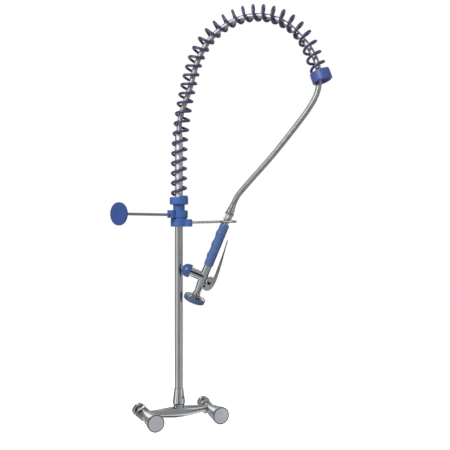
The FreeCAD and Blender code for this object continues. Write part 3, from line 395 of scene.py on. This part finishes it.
def makeSmudgeGroup(values):
    # fingerprints and water marks: a roughness that drifts between two values
    group, start, end = newGroup("smudge", [
        ("Vector", "NodeSocketVector", None), ("Scale", "NodeSocketFloat", 40.0),
        ("Clean", "NodeSocketFloat", 0.1), ("Smeared", "NodeSocketFloat", 0.25)],
        [("Roughness", "NodeSocketFloat")])
    given = start.outputs
    broad = noiseNode(group, given["Vector"], given["Scale"], *values["broad"])
    fineScale = mathNode(group, "MULTIPLY", given["Scale"], values["fineTimes"])
    fine = noiseNode(group, given["Vector"], fineScale, *values["fine"])
    broadPart = mathNode(group, "MULTIPLY", broad, 1 - values["fineShare"])
    mixed = mathNode(group, "MULTIPLY_ADD", fine, values["fineShare"], broadPart)
    mask = rangeNode(group, mixed, values["from"], values["to"], 0.0, 1.0)
    rough = rangeNode(group, mask, 0.0, 1.0, given["Clean"], given["Smeared"])
    group.links.new(rough, end.inputs["Roughness"])
    return group


skinGrain = {"fine": (2.0, 0.5), "waves": (1.0, 0.4)}


def makeGrainGroup(values):
    # the fine skin of a mould or a casting, as a height
    group, start, end = newGroup("skinGrain", [
        ("Vector", "NodeSocketVector", None), ("Scale", "NodeSocketFloat", 900.0),
        ("Waves", "NodeSocketFloat", 60.0), ("Wave Share", "NodeSocketFloat", 0.4)],
        [("Height", "NodeSocketFloat")])
    given = start.outputs
    fine = noiseNode(group, given["Vector"], given["Scale"], *values["fine"])
    waves = noiseNode(group, given["Vector"], given["Waves"], *values["waves"])
    fineShare = mathNode(group, "SUBTRACT", 1.0, given["Wave Share"])
    finePart = mathNode(group, "MULTIPLY", fine, fineShare)
    height = mathNode(group, "MULTIPLY_ADD", waves, given["Wave Share"], finePart)
    group.links.new(height, end.inputs["Height"])
    return group


colourDrift = {"noise": (4.0, 0.55), "from": 0.35, "to": 0.7}


def makeShadeGroup(values):
    # a colour that drifts a little towards a second one
    group, start, end = newGroup("colourDrift", [
        ("Vector", "NodeSocketVector", None), ("Scale", "NodeSocketFloat", 30.0),
        ("Main", "NodeSocketColor", (0.5, 0.5, 0.5, 1)),
        ("Other", "NodeSocketColor", (0.4, 0.4, 0.4, 1)), ("Amount", "NodeSocketFloat", 0.3)],
        [("Color", "NodeSocketColor")])
    given = start.outputs
    noise = noiseNode(group, given["Vector"], given["Scale"], *values["noise"])
    drift = rangeNode(group, noise, values["from"], values["to"], 0.0, 1.0)
    share = mathNode(group, "MULTIPLY", drift, given["Amount"])
    group.links.new(mixNode(group, share, given["Main"], given["Other"]), end.inputs["Color"])
    return group


wireBraid = {"flatness": 3.0, "wireDepth": 0.22, "underDepth": 0.55, "gapFrom": 0.05, "gapTo": 0.45}


def makeBraidGroup(values):
    # flat bands of wires that cross over and under each other round a hose
    group, start, end = newGroup("wireBraid", [
        ("Vector", "NodeSocketVector", None), ("Bands", "NodeSocketFloat", 20.0),
        ("Pitch", "NodeSocketFloat", 0.0018), ("Wires", "NodeSocketFloat", 3.0)],
        [("Height", "NodeSocketFloat"), ("Gap", "NodeSocketFloat")])
    given = start.outputs
    split = group.nodes.new("ShaderNodeSeparateXYZ")
    group.links.new(given["Vector"], split.inputs[0])
    girth = mathNode(group, "MULTIPLY", split.outputs["X"], given["Bands"])
    length = mathNode(group, "DIVIDE", split.outputs["Y"], given["Pitch"])

    def fromMiddle(share):
        # 0 in the middle of a band or wire, 1 at its two edges
        return mathNode(group, "ABSOLUTE", mathNode(group, "MULTIPLY_ADD", share, 2.0, -1.0))

    ridges, cells = [], []
    for sense in (1.0, -1.0):
        lane = mathNode(group, "MULTIPLY_ADD", length, sense, girth)
        across = mathNode(group, "FRACT", lane)
        edge = mathNode(group, "POWER", fromMiddle(across), values["flatness"])
        crown = mathNode(group, "SUBTRACT", 1.0, edge)
        wire = mathNode(group, "FRACT", mathNode(group, "MULTIPLY", across, given["Wires"]))
        ridge = mathNode(group, "MULTIPLY_ADD", fromMiddle(wire), -values["wireDepth"], crown)
        ridges.append(ridge)
        cells.append(mathNode(group, "FLOOR", lane))
    turnOver = mathNode(group, "PINGPONG", mathNode(group, "ADD", cells[0], cells[1]), 1.0)
    under = mathNode(group, "SUBTRACT", 1.0, turnOver)
    sunk = [mathNode(group, "MULTIPLY", share, values["underDepth"]) for share in (turnOver, under)]
    first, second = [mathNode(group, "SUBTRACT", ridge, depth) for ridge, depth in zip(ridges, sunk)]
    height = mathNode(group, "MAXIMUM", first, second)
    gap = rangeNode(group, height, values["gapFrom"], values["gapTo"], 1.0, 0.0)
    group.links.new(height, end.inputs["Height"])
    group.links.new(gap, end.inputs["Gap"])
    return group


groups = {
    "smudge": makeSmudgeGroup(smudge), "grain": makeGrainGroup(skinGrain),
    "shade": makeShadeGroup(colourDrift), "braid": makeBraidGroup(wireBraid),
}
print("shared effects made")


# Parts that the materials have in common
def rgba(colour):
    return (*colour, 1.0)


def startMaterial(name, metallic=0.0):
    material = bpy.data.materials.new(name)
    material.use_nodes = True
    tree = material.node_tree
    shader = tree.nodes["Principled BSDF"]
    shader.inputs["Metallic"].default_value = metallic
    coords = tree.nodes.new("ShaderNodeTexCoord")
    return material, tree, shader, coords.outputs


def placeGroup(tree, name, vector, **values):
    node = tree.nodes.new("ShaderNodeGroup")
    node.node_tree = groups[name]
    tree.links.new(vector, node.inputs["Vector"])
    for socket, value in values.items():
        node.inputs[socket.replace("_", " ")].default_value = value
    return node


def shadeColour(tree, place, colour, other, values):
    node = placeGroup(tree, "shade", place, Scale=values["shadeScale"], Amount=values["drift"],
                      Main=rgba(colour), Other=rgba(other))
    return node.outputs["Color"]


def smudgeRoughness(tree, place, clean, smeared, values):
    node = placeGroup(tree, "smudge", place, Scale=values["smudgeScale"],
                      Clean=clean, Smeared=smeared)
    return node.outputs["Roughness"]


def addBump(tree, shader, height, distance, strength=1.0):
    bump = tree.nodes.new("ShaderNodeBump")
    bump.inputs["Distance"].default_value = distance
    bump.inputs["Strength"].default_value = strength
    tree.links.new(height, bump.inputs["Height"])
    tree.links.new(bump.outputs["Normal"], shader.inputs["Normal"])


def addGrain(tree, shader, place, depth, scale, waves, waveShare):
    grain = placeGroup(tree, "grain", place, Scale=scale, Waves=waves, Wave_Share=waveShare)
    addBump(tree, shader, grain.outputs["Height"], depth)


# Plated and bare metal
metal = {
    "shadeScale": 35.0, "drift": 0.6, "smudgeScale": 40.0, "grainScale": 1600.0, "waveShare": 0.97,
}


def metalMaterial(name, colour, other, clean, smeared, waves=60.0, depth=0.00002):
    material, tree, shader, coords = startMaterial(name, 1.0)
    place = coords["Object"]
    shade = shadeColour(tree, place, colour, other, metal)
    rough = smudgeRoughness(tree, place, clean, smeared, metal)
    tree.links.new(shade, shader.inputs["Base Color"])
    tree.links.new(rough, shader.inputs["Roughness"])
    addGrain(tree, shader, place, depth, metal["grainScale"], waves, metal["waveShare"])
    return material


# Moulded plastic, rubber, ceramic and fibre
plastic = {
    "shadeScale": 45.0, "drift": 0.5, "smudgeScale": 60.0, "waves": 90.0, "waveShare": 0.25,
    "specular": 0.4, "coatRoughness": 0.3,
}


def plasticMaterial(name, colour, other, clean, smeared, grainScale=900.0, depth=0.00004, coat=0.0):
    material, tree, shader, coords = startMaterial(name)
    place = coords["Object"]
    shade = shadeColour(tree, place, colour, other, plastic)
    rough = smudgeRoughness(tree, place, clean, smeared, plastic)
    tree.links.new(shade, shader.inputs["Base Color"])
    tree.links.new(rough, shader.inputs["Roughness"])
    addGrain(tree, shader, place, depth, grainScale, plastic["waves"], plastic["waveShare"])
    shader.inputs["Specular IOR Level"].default_value = plastic["specular"]
    if coat:
        shader.inputs["Coat Weight"].default_value = coat
        shader.inputs["Coat Roughness"].default_value = plastic["coatRoughness"]
    return material


# Drawn steel of the rods: fine lines along the piece
drawnSteel = {
    "colour": (0.345, 0.355, 0.355), "other": (0.255, 0.265, 0.265),
    "shadeScale": 60.0, "drift": 0.7,
    "stretch": (0.03, 0.03, 1.0), "lines": (400.0, 3.0, 0.6), "from": 0.3, "to": 0.7,
    "polished": 0.22, "scratched": 0.38, "depth": 0.00002,
}


def drawnMaterial(values):
    material, tree, shader, coords = startMaterial("drawnSteel", 1.0)
    place = coords["Object"]
    mapping = tree.nodes.new("ShaderNodeMapping")
    mapping.inputs["Scale"].default_value = values["stretch"]
    tree.links.new(place, mapping.inputs["Vector"])
    lines = noiseNode(tree, mapping.outputs["Vector"], *values["lines"])
    colour = shadeColour(tree, place, values["colour"], values["other"], values)
    tree.links.new(colour, shader.inputs["Base Color"])
    rough = rangeNode(tree, lines, values["from"], values["to"],
                      values["polished"], values["scratched"])
    tree.links.new(rough, shader.inputs["Roughness"])
    addBump(tree, shader, lines, values["depth"])
    return material


# Soft sleeve of the grip, with a fine pebbled skin
gripSkin = {
    "colour": (0.049, 0.107, 0.272), "other": (0.036, 0.082, 0.225),
    "shadeScale": 40.0, "drift": 0.7, "smudgeScale": 50.0, "clean": 0.34, "smeared": 0.44,
    "pebbles": 1100.0, "depth": 0.00004, "specular": 0.6,
}


def gripMaterial(values):
    material, tree, shader, coords = startMaterial("gripBlue")
    place = coords["Object"]
    colour = shadeColour(tree, place, values["colour"], values["other"], values)
    tree.links.new(colour, shader.inputs["Base Color"])
    rough = smudgeRoughness(tree, place, values["clean"], values["smeared"], values)
    tree.links.new(rough, shader.inputs["Roughness"])
    cells = tree.nodes.new("ShaderNodeTexVoronoi")
    cells.feature = "SMOOTH_F1"
    cells.inputs["Scale"].default_value = values["pebbles"]
    tree.links.new(place, cells.inputs["Vector"])
    height = mathNode(tree, "SUBTRACT", 1.0, cells.outputs["Distance"])
    addBump(tree, shader, height, values["depth"])
    shader.inputs["Specular IOR Level"].default_value = values["specular"]
    return material


# Braided steel of the hoses, dull in the gaps between the bands
braidSkin = {
    "shadeScale": 90.0, "drift": 0.8, "darker": 0.7,
    "wireRoughness": 0.42, "gapRoughness": 0.7, "wireMetal": 0.9, "gapMetal": 0.2,
    "depth": 0.00007, "strength": 0.4,
}


def braidMaterial(name, colour, gapColour, values):
    material, tree, shader, coords = startMaterial(name, 1.0)
    braid = placeGroup(tree, "braid", coords["UV"])
    gap = braid.outputs["Gap"]
    other = [c * values["darker"] for c in colour]
    shade = shadeColour(tree, coords["Object"], colour, other, values)
    tree.links.new(mixNode(tree, gap, shade, rgba(gapColour)), shader.inputs["Base Color"])
    rough = rangeNode(tree, gap, 0.0, 1.0, values["wireRoughness"], values["gapRoughness"])
    tree.links.new(rough, shader.inputs["Roughness"])
    metallic = rangeNode(tree, gap, 0.0, 1.0, values["wireMetal"], values["gapMetal"])
    tree.links.new(metallic, shader.inputs["Metallic"])
    addBump(tree, shader, braid.outputs["Height"], values["depth"], values["strength"])
    return material


# Riser: polished up to the spring's seat, satin inside the spring
riserSkin = {
    "colour": (0.52, 0.53, 0.54), "other": (0.45, 0.46, 0.48), "satinColour": (0.56, 0.565, 0.59),
    "shadeScale": 35.0, "drift": 0.6, "smudgeScale": 40.0, "clean": 0.04, "smeared": 0.09,
    "satinFrom": arch["seatTop"] - 0.004, "satinTo": arch["seatTop"] - 0.002,
    "satinRoughness": 0.36,  # added to the polished part's
    "grainScale": 1600.0, "waves": 60.0, "waveShare": 0.97, "depth": 0.000006,
}


def riserMaterial(values):
    material, tree, shader, coords = startMaterial("riserChrome", 1.0)
    place = coords["Object"]
    split = tree.nodes.new("ShaderNodeSeparateXYZ")
    tree.links.new(place, split.inputs[0])
    satin = rangeNode(tree, split.outputs["Z"], values["satinFrom"], values["satinTo"], 0.0, 1.0)
    shade = shadeColour(tree, place, values["colour"], values["other"], values)
    colour = mixNode(tree, satin, shade, rgba(values["satinColour"]))
    tree.links.new(colour, shader.inputs["Base Color"])
    polished = smudgeRoughness(tree, place, values["clean"], values["smeared"], values)
    rough = mathNode(tree, "MULTIPLY_ADD", satin, values["satinRoughness"], polished)
    tree.links.new(rough, shader.inputs["Roughness"])
    addGrain(tree, shader, place, values["depth"], values["grainScale"],
             values["waves"], values["waveShare"])
    return material


# Each finish: the two colours it drifts between, then its roughness clean and smeared.
# A braid has the colours of its wires and of the gaps between them.
finishes = {
    "chrome": metalMaterial("chromePlate", (0.52, 0.53, 0.54), (0.45, 0.46, 0.48), 0.05, 0.12),
    # a lighter copy of the same chrome for the riser's cone nut: painted light, so that the nut reads
    # brighter
    "nutChromePaintedLighter": metalMaterial("chromeOnNutPaintedLighter", (0.60, 0.615, 0.63), (0.52, 0.535, 0.55), 0.05, 0.12),
    "castChrome": metalMaterial("chromeOnCasting", (0.50, 0.51, 0.52), (0.42, 0.43, 0.45),
                                0.08, 0.18, waves=45.0, depth=0.00006),
    "rod": drawnMaterial(drawnSteel),
    "blackSteel": metalMaterial("blackedSteel", (0.035, 0.035, 0.037), (0.025, 0.025, 0.027),
                                0.35, 0.5),
    "steel": metalMaterial("screwSteel", (0.45, 0.45, 0.46), (0.35, 0.35, 0.36), 0.25, 0.4),
    "collar": plasticMaterial("collarBlue", (0.038, 0.102, 0.320), (0.031, 0.085, 0.275), 0.34, 0.44),
    "disc": plasticMaterial("discBlue", (0.016, 0.048, 0.196), (0.013, 0.040, 0.170), 0.42, 0.55),
    "endCollar": plasticMaterial("endCollarBlue", (0.046, 0.074, 0.245), (0.037, 0.061, 0.210),
                                 0.36, 0.46),
    "cap": plasticMaterial("capBlue", (0.034, 0.080, 0.220), (0.028, 0.066, 0.19), 0.26, 0.36),
    "face": plasticMaterial("sprayFaceBlue", (0.047, 0.084, 0.190), (0.037, 0.068, 0.16), 0.35, 0.5),
    "grip": gripMaterial(gripSkin),
    "pin": plasticMaterial("pinBlue", (0.025, 0.045, 0.16), (0.02, 0.038, 0.13), 0.3, 0.45),
    "coat": plasticMaterial("springCoat", (0.038, 0.032, 0.105), (0.028, 0.024, 0.085), 0.3, 0.45,
                            grainScale=700.0, depth=0.00003, coat=0.3),
    "braid": braidMaterial("hoseBraid", (0.33, 0.34, 0.335), (0.25, 0.255, 0.25), braidSkin),
    # the hose inside the spring wears a lighter copy of the same braid: painted light, for the light
    # that falls on it from above and from the left
    "braidPaintedLighter": braidMaterial("hoseBraidInSpringPaintedLighter", (0.38, 0.385, 0.395), (0.28, 0.285, 0.295),
                               braidSkin),
    "riser": riserMaterial(riserSkin),
    "black": plasticMaterial("blackRubber", (0.012, 0.012, 0.013), (0.02, 0.02, 0.02), 0.55, 0.7),
    "fibre": plasticMaterial("fibreWasher", (0.10, 0.085, 0.075), (0.07, 0.06, 0.05), 0.7, 0.85),
    "brass": metalMaterial("machinedBrass", (0.62, 0.44, 0.19), (0.50, 0.34, 0.14), 0.2, 0.32),
    "ceramic": plasticMaterial("groundCeramic", (0.72, 0.71, 0.68), (0.66, 0.65, 0.62), 0.1, 0.2,
                               grainScale=500.0, depth=0.00001, coat=0.5),
    "knobFace": metalMaterial("knobFace", (0.72, 0.76, 0.81), (0.67, 0.70, 0.75), 0.30, 0.38,
                              depth=0.00001),
    "red": plasticMaterial("indexRed", (0.085, 0.014, 0.030), (0.06, 0.01, 0.022), 0.25, 0.35,
                           grainScale=700.0, depth=0.00001, coat=0.4),
    "blue": plasticMaterial("indexBlue", (0.008, 0.010, 0.085), (0.006, 0.008, 0.06), 0.25, 0.35,
                            grainScale=700.0, depth=0.00001, coat=0.15),
    "tip": plasticMaterial("capTip", (0.42, 0.43, 0.50), (0.36, 0.37, 0.44), 0.3, 0.45),
    "springSteel": metalMaterial("springSteel", (0.5, 0.5, 0.5), (0.42, 0.42, 0.42), 0.2, 0.3),
}
print("materials made")


# Which finish each node of the frame wears
worn = {
    # the riser nut wears the lighter chrome copy, which is painted light
    "mixer_body": "castChrome", "riser_nut": "nutChromePaintedLighter", "grub_screw": "blackSteel",
    "nut_seal": "black", "riser_tube": "riser", "riser_seals": "black", "hose_adapter": "chrome",
    "spring_seat": "collar", "seat_screw": "collar",
    "bracket_ring": "collar", "bracket_rod": "rod", "bracket_screw": "steel",
    "wall_flange": "disc", "hook_collar": "collar", "hook_rod": "rod", "hook_screw": "collar",
    "end_collar": "endCollar", "hose_ferrule": "chrome", "gun_o_ring": "black", "gun_nut": "chrome",
    "gun_body": "castChrome", "grip_sleeve": "grip", "valve_cap": "cap", "cap_tip": "tip",
    "valve_stem": "steel", "lever": "castChrome", "lever_pin": "pin",
    "spray_bell": "chrome", "spray_face": "face",
    "index_ring_hot": "red", "index_ring_cold": "blue",
}
wornOnBothSides = {
    "wall_union_": "castChrome", "union_nut_": "chrome", "union_washer_": "fibre",
    "headwork_": "brass", "seat_seal_": "black",
    "fixed_disc_": "ceramic", "moving_disc_": "ceramic", "spindle_": "brass",
    "handle_": "castChrome", "handle_cap_": "knobFace", "handle_screw_": "steel",
}
for node, finish in wornOnBothSides.items():
    worn[node + "hot"] = finish
    worn[node + "cold"] = finish


def dress(piece, finish):
    piece.data.materials.clear()
    piece.data.materials.append(finishes[finish])


for node, finish in worn.items():
    dress(nodes[node], finish)
# the held hose takes the lighter braid copy, which is painted light
dress(heldHose, "braidPaintedLighter")
dress(freeHose, "braid")
dress(archSpring, "coat")
dress(valveCoil, "springSteel")
print("nodes dressed")


white = (1.0, 1.0, 1.0, 1.0)

# Studio: pale floor, white surround, soft lamps and grey walls that only metal mirrors
studio = {
    "floorHeight": -0.45, "floorSize": 12.0, "floorColour": (0.86, 0.86, 0.86),
    "floorRoughness": 0.9, "floorGlow": 0.62, "worldLight": 0.38,
    "lamps": [
        {"name": "keyLamp", "place": (-1.9, -1.6, 2.0), "size": 1.0, "power": 80.0},
        {"name": "fillLamp", "place": (1.8, -2.0, 1.0), "size": 1.6, "power": 7.0},
        {"name": "backLamp", "place": (0.6, 1.8, 1.8), "size": 1.4, "power": 16.0},
    ],
    "target": (0.05, -0.1, 0.42),
    # Walls in a ring round the riser: from and to in degrees from the camera's side, how light
    "wallReach": 1.8, "wallFoot": -0.45, "wallTop": 2.0, "wallRun": 4.0,
    "walls": [
        (-112, -92, 0.10), (-92, -80, 0.50), (-80, -64, 0.80), (-64, -54, 2.0), (-54, -47, 0.22),
        (-47, -7, 0.66), (-7, 18, 0.04), (18, 25, 1.0), (25, 62, 0.42), (62, 71, 1.7),
        (71, 82, 0.15), (82, 112, 0.50), (112, 146, 0.34), (146, 160, 1.5), (160, 200, 0.46),
        (200, 214, 1.5), (214, 248, 0.30),
    ],
    # Roof and tray: height, from and to in metres round the riser, how light
    "discSteps": 48,
    "discs": [
        (2.0, 0.0, 0.30, 0.30), (2.0, 0.30, 0.50, 1.5), (2.0, 0.50, 0.72, 0.14),
        (2.0, 0.72, 1.05, 0.85), (2.0, 1.05, 1.30, 0.16), (2.0, 1.30, 1.80, 0.55),
        (-0.44, 0.0, 0.20, 0.06), (-0.44, 0.20, 0.60, 1.1), (-0.44, 0.60, 0.85, 0.24),
        (-0.44, 0.85, 1.80, 0.50),
    ],
}


def glowMaterial(name, strength):
    material = bpy.data.materials.new(name)
    material.use_nodes = True
    tree = material.node_tree
    tree.nodes.clear()
    out = tree.nodes.new("ShaderNodeOutputMaterial")
    glow = tree.nodes.new("ShaderNodeEmission")
    glow.inputs["Color"].default_value = white
    glow.inputs["Strength"].default_value = strength
    tree.links.new(glow.outputs[0], out.inputs["Surface"])
    return material


def seenDirectly(tree):
    # 1 for rays from the camera, off metal and through glass
    paths = tree.nodes.new("ShaderNodeLightPath")
    either = mathNode(tree, "MAXIMUM", paths.outputs["Is Camera Ray"], paths.outputs["Is Glossy Ray"])
    return mathNode(tree, "MAXIMUM", either, paths.outputs["Is Transmission Ray"])


def makeFloor(values):
    half = values["floorSize"] / 2
    z = values["floorHeight"]
    mesh = bpy.data.meshes.new("floor")
    corners = [(-half, -half, z), (half, -half, z), (half, half, z), (-half, half, z)]
    mesh.from_pydata(corners, [], [(0, 1, 2, 3)])
    floor = addObject("floor", mesh)
    material = bpy.data.materials.new("paleFloor")
    material.use_nodes = True
    tree = material.node_tree
    shader = tree.nodes["Principled BSDF"]
    shader.inputs["Base Color"].default_value = rgba(values["floorColour"])
    shader.inputs["Roughness"].default_value = values["floorRoughness"]
    shader.inputs["Emission Color"].default_value = white
    glow = mathNode(tree, "MULTIPLY", seenDirectly(tree), values["floorGlow"])
    tree.links.new(glow, shader.inputs["Emission Strength"])
    mesh.materials.append(material)


def makeWorld(values):
    world = bpy.data.worlds.new("studioWorld")
    bpy.context.scene.world = world
    world.use_nodes = True
    tree = world.node_tree
    background = tree.nodes["Background"]
    background.inputs["Color"].default_value = white
    strength = rangeNode(tree, seenDirectly(tree), 0.0, 1.0, values["worldLight"], 1.0)
    tree.links.new(strength, background.inputs["Strength"])


def makeLamps(values):
    for lamp in values["lamps"]:
        data = bpy.data.lights.new(lamp["name"], "AREA")
        data.shape = "DISK"
        data.size = lamp["size"]
        data.energy = lamp["power"]
        made = addObject(lamp["name"], data)
        made.location = lamp["place"]
        way = Vector(values["target"]) - made.location
        made.rotation_euler = way.to_track_quat("-Z", "Y").to_euler()


def addMirrored(name, verts, faces, shade):
    # a studio piece that only mirroring surfaces see
    mesh = bpy.data.meshes.new(name)
    mesh.from_pydata(verts, [], faces)
    mesh.materials.append(glowMaterial(name, shade))
    piece = addObject(name, mesh)
    piece.visible_camera = False
    piece.visible_diffuse = False
    piece.visible_shadow = False


def roundRiser(reach, turn, height):
    return reach * math.cos(turn), arch["riserY"] + reach * math.sin(turn), height


def makeWalls(values):
    facing = math.radians(-90 + photoCamera["turn"])
    ends = values["wallFoot"], values["wallTop"]
    for number, (first, last, shade) in enumerate(values["walls"]):
        runs = max(1, round((last - first) / values["wallRun"]))
        verts = []
        for k in range(runs + 1):
            turn = facing + math.radians(first + (last - first) * k / runs)
            verts += [roundRiser(values["wallReach"], turn, height) for height in ends]
        faces = [(2 * k, 2 * k + 2, 2 * k + 3, 2 * k + 1) for k in range(runs)]
        addMirrored("studioWall%d" % number, verts, faces, shade)


def makeRoofAndTray(values):
    steps = values["discSteps"]
    for number, (height, inner, outer, shade) in enumerate(values["discs"]):
        verts, faces = [], []
        for k in range(steps):
            turn = 2 * math.pi * k / steps
            verts += [roundRiser(reach, turn, height) for reach in (inner, outer)]
            after = (k + 1) % steps
            if inner:
                faces.append((2 * k, 2 * k + 1, 2 * after + 1, 2 * after))
        if not inner:
            faces.append(tuple(range(1, 2 * steps, 2)))
        addMirrored("studioDisc%d" % number, verts, faces, shade)


makeFloor(studio)
makeWorld(studio)
makeLamps(studio)
makeWalls(studio)
makeRoofAndTray(studio)
bpy.context.scene.view_settings.view_transform = "Standard"
print("studio lit")
